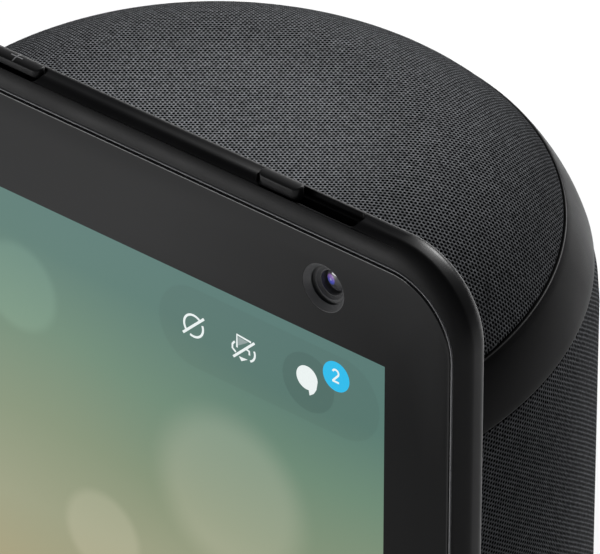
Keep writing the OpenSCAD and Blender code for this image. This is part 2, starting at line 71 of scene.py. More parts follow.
FRONT = GLASS_LOW[1]                       # plane of the glass face
HALF_W = SHELL_HIGH[0]
LOW, HIGH = SHELL_LOW[2], 230.0            # the shell without its buttons
BACK = FRONT + 11.5
SIDE_RIM, TOP_RIM, LOW_RIM = 2.6, 4.5, 3.0
OPEN_HALF = HALF_W - SIDE_RIM
OPEN_LOW, OPEN_HIGH = LOW + LOW_RIM, HIGH - TOP_RIM
GLASS_HALF = GLASS_HIGH[0]
GLASS_CORNER = 12.7
CONTROL_Y = (UP_LOW[1] + UP_HIGH[1]) / 2
SLOT_W, SLOT_GAP, SLOT_DEPTH, STEM_SLOT_W = 3.4, 0.5, 1.6, 2.0
SHUTTER_RUN = 12.5
SLOT_FLOOR = HIGH - SLOT_DEPTH
CROWN_R = 2.2
CAP_EDGE = 0.22                            # rounding of a cap's upper edge
ACTIVE_HALF = 108.5
ACTIVE_HIGH = 205.7
ACTIVE_LOW = ACTIVE_HIGH - 135.6
CAMERA_HOLE_R = 4.5
CAMERA_X = (WELL_LOW[0] + WELL_HIGH[0]) / 2
CAMERA_Z = (WELL_LOW[2] + WELL_HIGH[2]) / 2
DRUM_R = 69.5
DRUM_TOP = TOP_HIGH[2]
SHOULDER_R = 36.8
SHOULDER_Z = DRUM_TOP - SHOULDER_R
FLAT_R = DRUM_R - SHOULDER_R
COLLAR_LOW, COLLAR_HIGH = 137.9, 150.1
COLLAR_SLOPE = math.tan(math.radians(6.3))
SKIRT_TOP = DRUM_LOW[2]
FABRIC_T = 0.8
HINGE_Z = 144.4
ROUND = 256                                # points in a ring round the drum
THREAD_PITCH = 0.787                       # distance between the knit's holes along a row


# ---------- camera ----------
def place_camera():
    """Stands the camera where the lit area's upper right corner has the photograph's place and size."""
    azimuth, elevation, roll = 0.707131741, 0.572496995, 0.00199932537
    across, above, distance = 13.903, 14.758, 1448.39
    sa, ca, se, ce = math.sin(azimuth), math.cos(azimuth), math.sin(elevation), math.cos(elevation)
    right = Vector((ca, sa, 0))
    up = Vector((-sa * se, ca * se, ce))
    ahead = Vector((-sa * ce, ca * ce, -se))
    right2 = math.cos(roll) * right + math.sin(roll) * up
    up2 = -math.sin(roll) * right + math.cos(roll) * up
    corner = Vector((ACTIVE_HALF, FRONT, ACTIVE_HIGH))
    spot = corner - across * right2 + above * up2 - distance * ahead
    data = bpy.data.cameras.new("camera")
    data.sensor_width = 36
    data.lens = 529.84
    data.clip_start, data.clip_end = 0.05, 60
    camera = bpy.data.objects.new("camera", data)
    turn = Matrix((right2, up2, -ahead)).transposed().to_4x4()
    camera.matrix_world = Matrix.Translation(spot * MM) @ turn
    SCENE.collection.objects.link(camera)
    SCENE.camera = camera


place_camera()


# ---------- material tools ----------
class Tree:
    """Builds one procedural material."""

    def __init__(self, name):
        self.material = bpy.data.materials.new(name)
        self.material.use_nodes = True
        self.tree = self.material.node_tree
        self.tree.nodes.clear()
        self.output = self.node("ShaderNodeOutputMaterial")
        self.shader = self.node("ShaderNodeBsdfPrincipled")
        self.join(self.shader.outputs[0], self.output.inputs["Surface"])
        self.coord = self.node("ShaderNodeTexCoord").outputs["Object"]

    def node(self, kind, **settings):
        made = self.tree.nodes.new(kind)
        for key, value in settings.items():
            setattr(made, key, value)
        return made

    def join(self, source, target):
        self.tree.links.new(source, target)

    def feed(self, value, target):
        if isinstance(value, bpy.types.NodeSocket):
            self.join(value, target)
        else:
            target.default_value = value

    def math(self, operation, *values, clamp=False):
        made = self.node("ShaderNodeMath", operation=operation, use_clamp=clamp)
        for i, value in enumerate(values):
            self.feed(value, made.inputs[i])
        return made.outputs[0]

    def step(self, value, low, high):
        made = self.node("ShaderNodeMapRange", interpolation_type="SMOOTHSTEP")
        self.feed(value, made.inputs["Value"])
        made.inputs["From Min"].default_value = low
        made.inputs["From Max"].default_value = high
        return made.outputs[0]

    def remap(self, value, low, high, to_low, to_high):
        made = self.node("ShaderNodeMapRange")
        self.feed(value, made.inputs["Value"])
        for key, number in (("From Min", low), ("From Max", high), ("To Min", to_low), ("To Max", to_high)):
            made.inputs[key].default_value = number
        return made.outputs[0]

    def split(self, vector=None):
        made = self.node("ShaderNodeSeparateXYZ")
        self.join(vector or self.coord, made.inputs[0])
        return made.outputs

    def split_mm(self):
        return self.split(self.scaled((1 / MM,) * 3))

    def distance(self, a, b):
        """Length of the vector with sides a and b."""
        return self.math("SQRT", self.math("ADD", self.math("MULTIPLY", a, a), self.math("MULTIPLY", b, b)))

    def pack(self, x, y, z=0.0):
        made = self.node("ShaderNodeCombineXYZ")
        for i, value in enumerate((x, y, z)):
            self.feed(value, made.inputs[i])
        return made.outputs[0]

    def scaled(self, factors):
        made = self.node("ShaderNodeVectorMath", operation="MULTIPLY")
        self.join(self.coord, made.inputs[0])
        made.inputs[1].default_value = factors
        return made.outputs[0]

    def noise(self, size_mm, detail=3.0, rough=0.55, stretch=(1, 1, 1)):
        made = self.node("ShaderNodeTexNoise")
        self.join(self.scaled([s / MM for s in stretch]), made.inputs["Vector"])
        made.inputs["Scale"].default_value = 1.0 / size_mm
        made.inputs["Detail"].default_value = detail
        made.inputs["Roughness"].default_value = rough
        return made.outputs["Fac"]

    def colours(self, value, stops):
        made = self.node("ShaderNodeValToRGB")
        ramp = made.color_ramp
        while len(ramp.elements) < len(stops):
            ramp.elements.new(0.5)
        for element, (place, colour) in zip(ramp.elements, stops):
            element.position = place
            element.color = (*colour, 1)
        self.join(value, made.inputs[0])
        return made.outputs[0]

    def mix(self, amount, first, second, blend="MIX"):
        made = self.node("ShaderNodeMix", data_type="RGBA", blend_type=blend)
        self.feed(amount, made.inputs[0])
        for socket, value in ((made.inputs[6], first), (made.inputs[7], second)):
            self.feed(value if isinstance(value, bpy.types.NodeSocket) else (*value, 1), socket)
        return made.outputs[2]

    def bump(self, height, depth_mm, strength=1.0):
        made = self.node("ShaderNodeBump")
        made.inputs["Strength"].default_value = strength
        made.inputs["Distance"].default_value = depth_mm * MM
        self.join(height, made.inputs["Height"])
        self.join(made.outputs[0], self.shader.inputs["Normal"])

    def set(self, **values):
        for key, value in values.items():
            self.feed(value, self.shader.inputs[key.replace("_", " ")])


def tint(colour, share):
    return tuple(c * share for c in colour)


def moulded(name, colour, rough=0.45, grain=0.12, depth=0.01, shine=0.5):
    """Moulded plastic: fine spark-eroded grain, faint cloudiness, edges rubbed a little smoother."""
    t = Tree(name)
    clouds = t.noise(14, 3)
    fine = t.noise(grain, 2)
    shade = t.math("ADD", t.math("MULTIPLY", clouds, 0.7), t.math("MULTIPLY", fine, 0.3))
    t.set(Base_Color=t.colours(shade, [(0.3, tint(colour, 0.86)), (0.7, tint(colour, 1.14))]))
    pointed = t.node("ShaderNodeNewGeometry").outputs["Pointiness"]
    edge = t.step(pointed, 0.52, 0.62)
    worn = t.math("SUBTRACT", t.remap(clouds, 0.3, 0.7, rough - 0.04, rough + 0.05),
                  t.math("MULTIPLY", edge, 0.25 * rough))
    t.set(Roughness=worn, Specular_IOR_Level=shine)
    t.bump(fine, depth)
    return t.material


def metal(name, colour, rough=0.3, stretch=(1, 1, 20), size=0.25, depth=0.004):
    """Brushed, cast or plated metal with marks along one way and a little staining."""
    t = Tree(name)
    marks = t.noise(size, 3, stretch=stretch)
    stain = t.noise(9, 4)
    t.set(Base_Color=t.colours(stain, [(0.3, tint(colour, 0.82)), (0.72, colour)]), Metallic=1.0,
          Roughness=t.remap(marks, 0.25, 0.75, rough - 0.07, rough + 0.1))
    t.bump(marks, depth)
    return t.material


def rubber(name, colour, rough=0.75):
    t = Tree(name)
    dust = t.noise(3, 5)
    t.set(Base_Color=t.colours(dust, [(0.35, colour), (0.8, tint(colour, 1.7))]),
          Roughness=t.remap(dust, 0.3, 0.7, rough - 0.08, rough + 0.1))
    t.bump(t.noise(0.35, 3), 0.03)
    return t.material


def circuit_board(name):
    """Solder mask over copper tracks, with tinned pads."""
    t = Tree(name)
    x, _, z = t.split()
    u, v = t.math("MULTIPLY", x, 1 / MM), t.math("MULTIPLY", z, 1 / MM)
    wander = t.math("MULTIPLY", t.noise(9, 0), 9)
    lane = t.math("PINGPONG", t.math("ADD", u, wander), 0.9)
    track = t.step(lane, 0.55, 0.62)
    cell = t.node("ShaderNodeTexVoronoi", feature="F1")
    t.join(t.pack(u, v), cell.inputs["Vector"])
    cell.inputs["Scale"].default_value = 0.34
    cell.inputs["Randomness"].default_value = 0.35
    pad = t.math("SUBTRACT", 1.0, t.step(cell.outputs["Distance"], 0.1, 0.13))
    mask = t.mix(track, (0.012, 0.09, 0.045), (0.03, 0.2, 0.1))
    t.set(Base_Color=t.mix(pad, mask, (0.66, 0.64, 0.58)), Metallic=pad,
          Roughness=t.remap(t.noise(2, 2), 0.3, 0.7, 0.28, 0.4))
    t.bump(t.math("ADD", track, pad), 0.03)
    return t.material


def knit_shade(t, u, v, pitch, row, light=1.0, sheen=0.02, painted_shade=1.0):
    """An open knit: staggered holes between small twisted loops. u runs along the rows, both in mm.
    light scales every colour, and the last argument the yarn's brightness from place to place; both serve
    as painted shade. The holes are painted near-black as painted shade, and the yarn lighter on the loops'
    crests as painted highlight."""
    drift = t.math("MULTIPLY", t.math("SUBTRACT", t.noise(4.5, 2), 0.5), 0.26)
    u1, v1 = t.math("ADD", u, drift), t.math("ADD", v, t.math("MULTIPLY", drift, -0.7))
    wave_u = t.math("COSINE", t.math("MULTIPLY", u1, 2 * math.pi / pitch))
    wave_v = t.math("COSINE", t.math("MULTIPLY", v1, math.pi / row))
    rib = t.math("COSINE", t.math("MULTIPLY", v1, 2 * math.pi / row))
    lattice = t.math("MULTIPLY", t.math("MULTIPLY", wave_u, wave_v), 0.75)
    weave = t.math("ADD", lattice, t.math("MULTIPLY", rib, 0.42))
    ply = t.noise(0.16, 2, 0.6)
    loops = t.math("ADD", weave, t.math("MULTIPLY", t.math("SUBTRACT", ply, 0.5), 0.7))
    # hole marks the holes, painted near-black below as painted shade; lit paints the yarn lighter on the
    # loops' crests and darker between them (painted highlight and shade) and also gives the bump
    hole = t.step(loops, -0.1, 0.32)
    lit = t.step(loops, 0.3, -0.5)
    patch = t.math("ADD", t.remap(t.noise(1.3, 3), 0.3, 0.7, 0.3, 0.8),
                   t.remap(t.noise(0.5, 2), 0.3, 0.7, 0.1, 0.9))
    yarn = t.colours(lit, [(0.0, tint((0.019, 0.020, 0.022), light)),
                           (0.5, tint((0.092, 0.095, 0.100), light)),
                           (1.0, tint((0.205, 0.211, 0.221), light))])
    # painted shade: the yarn's brightness is scaled from place to place
    patch = t.math("MULTIPLY", patch, painted_shade)
    yarn = t.mix(1.0, yarn, t.pack(patch, patch, patch), "MULTIPLY")
    t.set(Base_Color=t.mix(hole, yarn, tint((0.0020, 0.0021, 0.0023), light)), Roughness=0.82,
          Sheen_Weight=sheen, Sheen_Roughness=0.3, Specular_IOR_Level=0.0)
    t.bump(t.math("SUBTRACT", lit, t.math("MULTIPLY", hole, 1.2)), 0.16, 0.85)
    return t.material


def top_knit_finish():
    """The dome's knit: rows lie straight across the top, and follow the shoulder down. The yarn is darker
    towards the shoulder, which was fitted to the photograph and stands in for its light."""
    t = Tree("knit_over_dome")
    x, y, _ = t.split_mm()
    radius = t.distance(x, y)
    over = t.math("DIVIDE", t.math("SUBTRACT", radius, FLAT_R), SHOULDER_R, clamp=True)
    along = t.math("ADD", t.math("MINIMUM", radius, FLAT_R),
                   t.math("MULTIPLY", t.math("ARCSINE", over), SHOULDER_R))
    share = t.math("DIVIDE", along, t.math("MAXIMUM", radius, 0.01))
    turn = math.radians(40.5)
    u = t.math("ADD", t.math("MULTIPLY", x, math.cos(turn)), t.math("MULTIPLY", y, math.sin(turn)))
    v = t.math("SUBTRACT", t.math("MULTIPLY", y, math.cos(turn)), t.math("MULTIPLY", x, math.sin(turn)))
    # the yarn is painted darker from the top's middle out to the shoulder: painted shade
    return knit_shade(t, t.math("MULTIPLY", u, share), t.math("MULTIPLY", v, share), THREAD_PITCH, 0.77,
                      painted_shade=t.remap(radius, 22.0, 60.0, 1.12, 0.30))


def side_knit_finish():
    """The drum's knit: the same cloth wrapped on the bias, meeting itself at the back, with every colour
    painted darker than the top's as painted shade.
    """
    t = Tree("knit_round_drum")
    x, y, z = t.split_mm()
    around = t.math("MULTIPLY", t.math("ARCTAN2", x, t.math("MULTIPLY", y, -1.0)), DRUM_R)
    slant = math.radians(-36)
    girth = 2 * math.pi * DRUM_R
    ca, sa = math.cos(slant), math.sin(slant)
    u = t.math("ADD", t.math("MULTIPLY", around, ca), t.math("MULTIPLY", z, sa))
    v = t.math("SUBTRACT", t.math("MULTIPLY", z, ca), t.math("MULTIPLY", around, sa))
    # whole numbers of holes and of pairs of rows go round, so the pattern closes at the back
    pitch = girth * ca / round(girth * ca / THREAD_PITCH)
    row = abs(girth * sa) / 2 / round(abs(girth * sa) / 2 / 0.785)
    # 0.40 paints every colour of the side's cloth darker than the top's: painted shade
    return knit_shade(t, u, v, pitch, row, 0.40, 0.03)


def black_glass_finish():
    """Black print under polished glass, with the faintest smears."""
    t = Tree("black_glass")
    smear = t.noise(22, 4)
    t.set(Base_Color=t.colours(smear, [(0.2, (0.0022, 0.0022, 0.0023)), (0.8, (0.0032, 0.0032, 0.0033))]),
          Roughness=t.remap(smear, 0.3, 0.7, 0.045, 0.075), IOR=1.5)
    return t.material


def screen_finish():
    """A lit picture: a soft gradient with out-of-focus discs, and a dark translucent pill.
    across and down are measured in mm from the lit area's upper right corner."""
    t = Tree("lit_picture")
    x, _, z = t.split_mm()
    across = t.math("SUBTRACT", x, ACTIVE_HALF)
    down = t.math("SUBTRACT", ACTIVE_HIGH, z)
    slide = t.math("ADD", down, t.math("MULTIPLY", across, -0.05))
    slide = t.math("ADD", slide, t.math("MULTIPLY", t.math("SUBTRACT", t.noise(60, 1), 0.5), 14))
    base = t.colours(t.math("DIVIDE", slide, 140.0), [
        (0.00, (0.088, 0.180, 0.163)), (0.10, (0.092, 0.185, 0.155)), (0.21, (0.145, 0.240, 0.168)),
        (0.34, (0.225, 0.280, 0.178)), (0.46, (0.320, 0.335, 0.215)), (0.66, (0.420, 0.350, 0.200)),
        (1.00, (0.330, 0.200, 0.110))])

    def disc(cx, cz, radius, blur):
        far = t.distance(t.math("SUBTRACT", across, cx), t.math("SUBTRACT", down, -cz))
        return t.step(far, radius + blur, radius - blur)

    light = base
    for cx, cz, radius, blur, colour in (
        (-81.3, -18.5, 8.45, 1.2, (0.03, 0.045, 0.035)), (-62.7, -61.2, 8.2, 1.3, (0.07, 0.06, 0.05)),
        (-33.5, -40.3, 15.2, 4.0, (0.085, 0.07, 0.06)), (-118.0, -52.0, 11.0, 1.8, (0.05, 0.06, 0.045)),
        (-151.0, -27.0, 13.5, 3.0, (0.03, 0.05, 0.04)), (-170.0, -84.0, 9.5, 1.2, (0.09, 0.07, 0.04)),
        (-92.0, -98.0, 14.0, 2.6, (0.10, 0.07, 0.035)), (-38.0, -104.0, 10.5, 1.5, (0.09, 0.06, 0.03)),
        (-132.0, -112.0, 7.5, 1.0, (0.10, 0.07, 0.03)), (-195.0, -58.0, 8.0, 1.1, (0.05, 0.06, 0.04))):
        light = t.mix(disc(cx, cz, radius, blur), light, t.mix(1.0, light, colour, "ADD"))
    beside = t.math("SUBTRACT", t.math("ABSOLUTE", t.math("ADD", across, 25.2)), 16.3)
    far = t.distance(t.math("MAXIMUM", beside, 0.0), t.math("SUBTRACT", down, 10.0))
    pill = t.step(far, 8.0, 7.7)
    light = t.mix(t.math("MULTIPLY", pill, 0.10), light, (0.03, 0.035, 0.03))
    ring = disc(-16.47, -10.19, 5.63, 0.12)
    light = t.mix(t.math("MULTIPLY", ring, 0.2), light, (0.02, 0.04, 0.035))
    t.set(Base_Color=(0.003, 0.003, 0.003, 1), Roughness=0.05, IOR=1.5, Emission_Color=light,
          Emission_Strength=1.0)
    return t.material


def glow(name, colour):
    """A lit mark on the screen, with the faint grain of the panel's dots."""
    t = Tree(name)
    dots = t.noise(0.25, 0)
    t.set(Base_Color=(0.01, 0.01, 0.01, 1), Roughness=0.06,
          Emission_Color=t.colours(dots, [(0.2, tint(colour, 0.95)), (0.8, colour)]), Emission_Strength=1.0)
    return t.material


def lens_finish():
    """Coated lens: grey, with a coloured pupil left of its middle, blue below and violet above. These
    colours also glow faintly as painted reflection, with a small white painted glint in the pupil.
    """
    t = Tree("coated_lens")
    x, _, z = t.split_mm()
    dx, dz = t.math("SUBTRACT", x, CAMERA_X - 0.8), t.math("SUBTRACT", z, CAMERA_Z)
    far = t.distance(dx, dz)
    middle = t.step(far, 1.1, 0.75)
    grey = (0.05, 0.05, 0.053)
    tone = t.remap(dz, -1.2, 1.2, 0.0, 1.0)
    coating = t.colours(tone, [(0.0, (0.03, 0.10, 0.42)), (0.45, (0.10, 0.09, 0.50)),
                               (0.75, (0.30, 0.16, 0.46))])
    # painted highlight: a small white glint painted into the lens's glow, which paints its grey and coating
    # as a reflection
    painted_glint = t.step(far, 0.34, 0.1)
    painted_glow_colour = t.mix(painted_glint, t.mix(middle, grey, coating), (0.75, 0.78, 0.9))
    t.set(Base_Color=t.mix(middle, grey, coating), Roughness=0.22, Coat_Weight=0.6,
          Coat_Roughness=0.02, Emission_Color=painted_glow_colour, Emission_Strength=0.4)
    return t.material


FINISH = {
    "foot_rubber": rubber("foot_rubber_finish", (0.016, 0.016, 0.017)),
    "plate_steel": metal("plate_steel_finish", (0.46, 0.47, 0.48), 0.32, (1, 14, 14)),
    "dark_plastic": moulded("dark_plastic_finish", (0.0030, 0.0030, 0.0031), 0.38, 0.1, 0.006, shine=0.055),
    "inner_plastic": moulded("inner_plastic_finish", (0.026, 0.026, 0.028), 0.55, 0.2, 0.02),
    "rim_plastic": moulded("rim_plastic_finish", (0.0090, 0.0090, 0.0093), 0.38, 0.09, 0.006, shine=0.15),
    "button_plastic": moulded("button_plastic_finish", (0.0120, 0.0120, 0.0123), 0.40, 0.09, 0.006,
                              shine=0.22),
    "acetal": moulded("acetal_finish", (0.80, 0.80, 0.76), 0.4, 0.3, 0.01),
    "zinc": metal("zinc_finish", (0.30, 0.31, 0.33), 0.48, (1, 1, 1), 0.5, 0.02),
    "screw_steel": metal("screw_steel_finish", (0.60, 0.61, 0.62), 0.26, (1, 1, 1), 0.2),
    "bronze": metal("bronze_finish", (0.55, 0.36, 0.16), 0.3, (1, 1, 24)),
    "circuit_board": circuit_board("circuit_board_finish"),
    "shield_can": metal("shield_can_finish", (0.60, 0.61, 0.62), 0.3, (1, 1, 1), 0.4),
    "sink_aluminium": metal("sink_aluminium_finish", (0.62, 0.63, 0.64), 0.34, (20, 20, 1)),
    "magnet": metal("magnet_finish", (0.10, 0.10, 0.105), 0.5, (1, 1, 1), 0.4, 0.01),
    "cone_paper": rubber("cone_paper_finish", (0.03, 0.03, 0.033), 0.85),
    "surround_rubber": rubber("surround_rubber_finish", (0.014, 0.014, 0.015), 0.6),
    "dome_silk": rubber("dome_silk_finish", (0.33, 0.34, 0.36), 0.6),
    "light_guide": moulded("light_guide_finish", (0.80, 0.81, 0.80), 0.5),
    "frame_aluminium": metal("frame_aluminium_finish", (0.5, 0.51, 0.52), 0.36, (1, 1, 16)),
    "gasket": rubber("gasket_finish", (0.008, 0.008, 0.009), 0.6),
    "cover_glass": black_glass_finish(),
    "panel_glass": screen_finish(),
    "lens_glass": lens_finish(),
    "side_knit": side_knit_finish(),
    "top_knit": top_knit_finish(),
}
FINISH["charcoal_knit"] = FINISH["side_knit"]
WHITE_MARK = glow("white_mark", (0.84, 0.90, 0.89))
GREY_MARK = glow("grey_mark", (0.28, 0.35, 0.34))
BLUE_MARK = glow("blue_mark", (0.016, 0.50, 0.84))
GREY_PRINT = moulded("grey_print", (0.22, 0.22, 0.225), 0.5, 0.05, 0.002)

for part in frame["record"]["subparts"]:
    mesh = frame["nodes"][part["node"]].data
    mesh.materials.clear()
    mesh.materials.append(FINISH[part["material_slot"]])


# ---------- mesh tools, in millimetres ----------
def build(name, points, faces, sharp=32):
    """A smooth-shaded object; edges bent more than sharp degrees stay crisp."""
    mesh = bpy.data.meshes.new(name)
    mesh.from_pydata([tuple(float(c) * MM for c in p) for p in points], [], faces)
    work = bmesh.new()
    work.from_mesh(mesh)
    bmesh.ops.remove_doubles(work, verts=work.verts, dist=1e-7)
    bmesh.ops.recalc_face_normals(work, faces=work.faces)
    work.to_mesh(mesh)
    work.free()
    obj = bpy.data.objects.new(name, mesh)
    SCENE.collection.objects.link(obj)
    smooth(obj, sharp)
    return obj


def smooth(obj, sharp=32):
    obj.data.polygons.foreach_set("use_smooth", [True] * len(obj.data.polygons))
    obj.data.set_sharp_from_angle(angle=math.radians(sharp))


def finish_piece(obj, body, slot, finish=None, replaces=()):
    """Gives a piece its material, the slot's finish unless another is given, puts it on its body, and hides
    the CAD nodes it stands for.
    """
    obj.data.materials.clear()
    obj.data.materials.append(finish or FINISH[slot])
    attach(obj, body)
    if replaces:
        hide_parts(*replaces)


def loft(loops, cap_first=False, cap_last=False, closed=False):
    """Points and faces of a skin through rings of equal length. closed joins the last ring to the first."""
    n, rows, faces = len(loops[0]), len(loops), []
    for i in range(rows if closed else rows - 1):
        a, b = i * n, (i + 1) % rows * n
        for j in range(n):
            k = (j + 1) % n
            faces.append((a + j, a + k, b + k, b + j))
    if cap_first:
        faces.append(tuple(range(n - 1, -1, -1)))
    if cap_last:
        faces.append(tuple((rows - 1) * n + j for j in range(n)))
    return np.concatenate(loops), faces


def several(parts):
    """Points and faces of several closed shapes as one."""
    points, faces, count = [], [], 0
    for p, f in parts:
        points.append(np.asarray(p, float))
        faces += [tuple(count + i for i in g) for g in f]
        count += len(p)
    return np.concatenate(points), faces


def rounded_loop(half_w, low, high, radius, y, steps=14):
    """Rounded rectangle, seen from the front, at depth y."""
    out = []
    corners = ((1, high - radius), (-1, high - radius), (-1, low + radius), (1, low + radius))
    for k, (sx, z) in enumerate(corners):
        for i in range(steps + 1):
            a = math.radians(90 * (k + i / steps))
            out.append((sx * (half_w - radius) + radius * math.cos(a), y, z + radius * math.sin(a)))
    return np.array(out)


def pill_loop(x, y, length, width, z, steps=14):
    """Pill outline in plan; z is a height or a function of (x, y)."""
    out = []
    half = (length - width) / 2
    for side, base in ((1, -90), (-1, 90)):
        for i in range(steps + 1):
            a = math.radians(base + 180 * i / steps)
            px, py = x + side * half + width / 2 * math.cos(a), y + width / 2 * math.sin(a)
            out.append((px, py, z(px, py) if callable(z) else z))
    return np.array(out)


def circle_loop(x, z, radius, y, steps):
    return np.array([(x + radius * math.cos(a), y, z + radius * math.sin(a))
                     for a in np.linspace(0, 2 * math.pi, steps, endpoint=False)])


def carve(obj, cutters, bevel=0.0, sharp=32):
    """Cuts the cutters out of a piece, removes them, and rounds the edges left."""
    for cutter in cutters:
        cut = obj.modifiers.new("cut", "BOOLEAN")
        cut.object, cut.operation, cut.solver = cutter, "DIFFERENCE", "EXACT"
    if bevel:
        soft = obj.modifiers.new("soft", "BEVEL")
        soft.width, soft.segments, soft.limit_method = bevel * MM, 2, "ANGLE"
        soft.angle_limit, soft.use_clamp_overlap = math.radians(50), False
    graph = bpy.context.evaluated_depsgraph_get()
    mesh = bpy.data.meshes.new_from_object(obj.evaluated_get(graph))
    obj.modifiers.clear()
    obj.data = mesh
    for cutter in cutters:
        bpy.data.objects.remove(cutter)
    smooth(obj, sharp)


def block(name, low, high):
    (x0, y0, z0), (x1, y1, z1) = low, high
    loops = [np.array([(x0, y0, z), (x1, y0, z), (x1, y1, z), (x0, y1, z)]) for z in (z0, z1)]
    return build(name, *loft(loops, True, True))


def prism_between(outline, low, high):
    """Closed solid between two copies of an outline; low and high map (u, v) to a point."""
    return loft([np.array([lay(u, v) for u, v in outline]) for lay in (low, high)], True, True)


def ribbon(path, width, lay, low, high, closed=False):
    """A flat stroke along a path; lay(u, v, h) puts it on its surface."""
    path = np.asarray(path, float)
    n = len(path)
    loops = []
    for i in range(n):
        before = path[(i - 1) % n] if closed or i else path[i]
        after = path[(i + 1) % n] if closed or i < n - 1 else path[i]
        d = (after - before) / np.linalg.norm(after - before)
        side = np.array((-d[1], d[0])) * width / 2
        a, b = path[i] + side, path[i] - side
        loops.append(np.array([lay(*a, low), lay(*b, low), lay(*b, high), lay(*a, high)]))
    return loft(loops, not closed, not closed, closed)


def arc(cx, cy, radius, start, end, steps):
    turns = [math.radians(start + (end - start) * i / steps) for i in range(steps + 1)]
    return [(cx + radius * math.cos(a), cy + radius * math.sin(a)) for a in turns]


# ---------- display shell ----------
def outer_loop(inset, depth):
    return rounded_loop(HALF_W - inset, LOW + inset, HIGH - inset, 16 - min(inset, 6), FRONT + depth)


def opening_loop(grow, depth):
    return rounded_loop(OPEN_HALF + grow, OPEN_LOW - grow, OPEN_HIGH + grow, GLASS_CORNER + 0.7 + grow,
                        FRONT + depth)


def slot_cutter(x, length, width, low):
    rings = [pill_loop(x, CONTROL_Y, length, width, z) for z in (low, HIGH + 3)]
    return build("cutter", *loft(rings, True, True))


def control_slots():
    """Cutters for the slots of the three buttons, of their stems, and of the shutter's knob."""
    boxes = ((MUTE_LOW, MUTE_HIGH), (DOWN_LOW, DOWN_HIGH), (UP_LOW, UP_HIGH))
    cutters = [slot_cutter((low[0] + high[0]) / 2, high[0] - low[0] + 2 * SLOT_GAP, SLOT_W, SLOT_FLOOR)
               for low, high in boxes]
    cutters += [slot_cutter((low[0] + high[0]) / 2, 7, STEM_SLOT_W, OPEN_HIGH - 1) for low, high in boxes]
    run = KNOB_HIGH[0] - KNOB_LOW[0] + SHUTTER_RUN + 1.2
    middle = KNOB_LOW[0] - 0.6 + run / 2
    cutters.append(slot_cutter(middle, run, SLOT_W, SLOT_FLOOR))
    cutters.append(slot_cutter(middle, SHUTTER_RUN + 7.4, STEM_SLOT_W, OPEN_HIGH - 1))
    return cutters


def make_shell():
    """The rear cover: (inset from the outline, depth behind the glass) from the back's flat to the rim."""
    loops = [outer_loop(inset, depth) for inset, depth in (
        (35.0, 11.50), (32.6, 11.48), (30.6, 11.38), (28.4, 11.15), (24.8, 10.68), (20.2, 10.02),
        (15.4, 9.32), (10.8, 8.62), (7.0, 8.02), (4.7, 7.58), (3.2, 7.16), (2.25, 6.76), (1.4, 6.28),
        (0.72, 5.68), (0.28, 5.08), (0.05, 4.5), (0.0, 4.0))]
    # the rim's front half bulges between the widest line and the glass opening
    nose = 2.5
    widest = outer_loop(0, 0)
    mouth = opening_loop(0.14, 0)
    for k in range(10, -1, -1):
        a = math.radians(90 * k / 10)
        loop = mouth + (widest - mouth) * math.sin(a)
        loop[:, 1] = FRONT + 0.02 + nose * (1 - math.cos(a)) ** 0.7
        loops.append(loop)
    loops.append(opening_loop(0.05, 0.07))
    loops.append(opening_loop(0.0, 0.2))
    loops.append(opening_loop(0.0, 5.8))
    loops += [rounded_loop(OPEN_HALF - 4, OPEN_LOW + 4, OPEN_HIGH - 4, 9, FRONT + 5.8),
              rounded_loop(HALF_W - 36, LOW + 36, HIGH - 36, 9, FRONT + 9.9)]
    shell = build("display_shell", *loft(loops, True, True))

    cutters = control_slots()
    half_w, half_h = 30.4, 4.4                 # opening for the hinge's bracket
    cutters.append(block("cutter", (-half_w, BACK - 4, HINGE_Z - half_h),
                         (half_w, BACK + 2, HINGE_Z + half_h)))
    for x in (-33, 33):
        for z in (HINGE_Z - 9, HINGE_Z + 9):
            rings = [circle_loop(x, z, 1.7, y, 24) for y in (BACK - 3, BACK + 1)]
            cutters.append(build("cutter", *loft(rings, True, True)))
    carve(shell, cutters, 0.12)
    finish_piece(shell, "display", "rim_plastic", replaces=("rear_cover",))


make_shell()


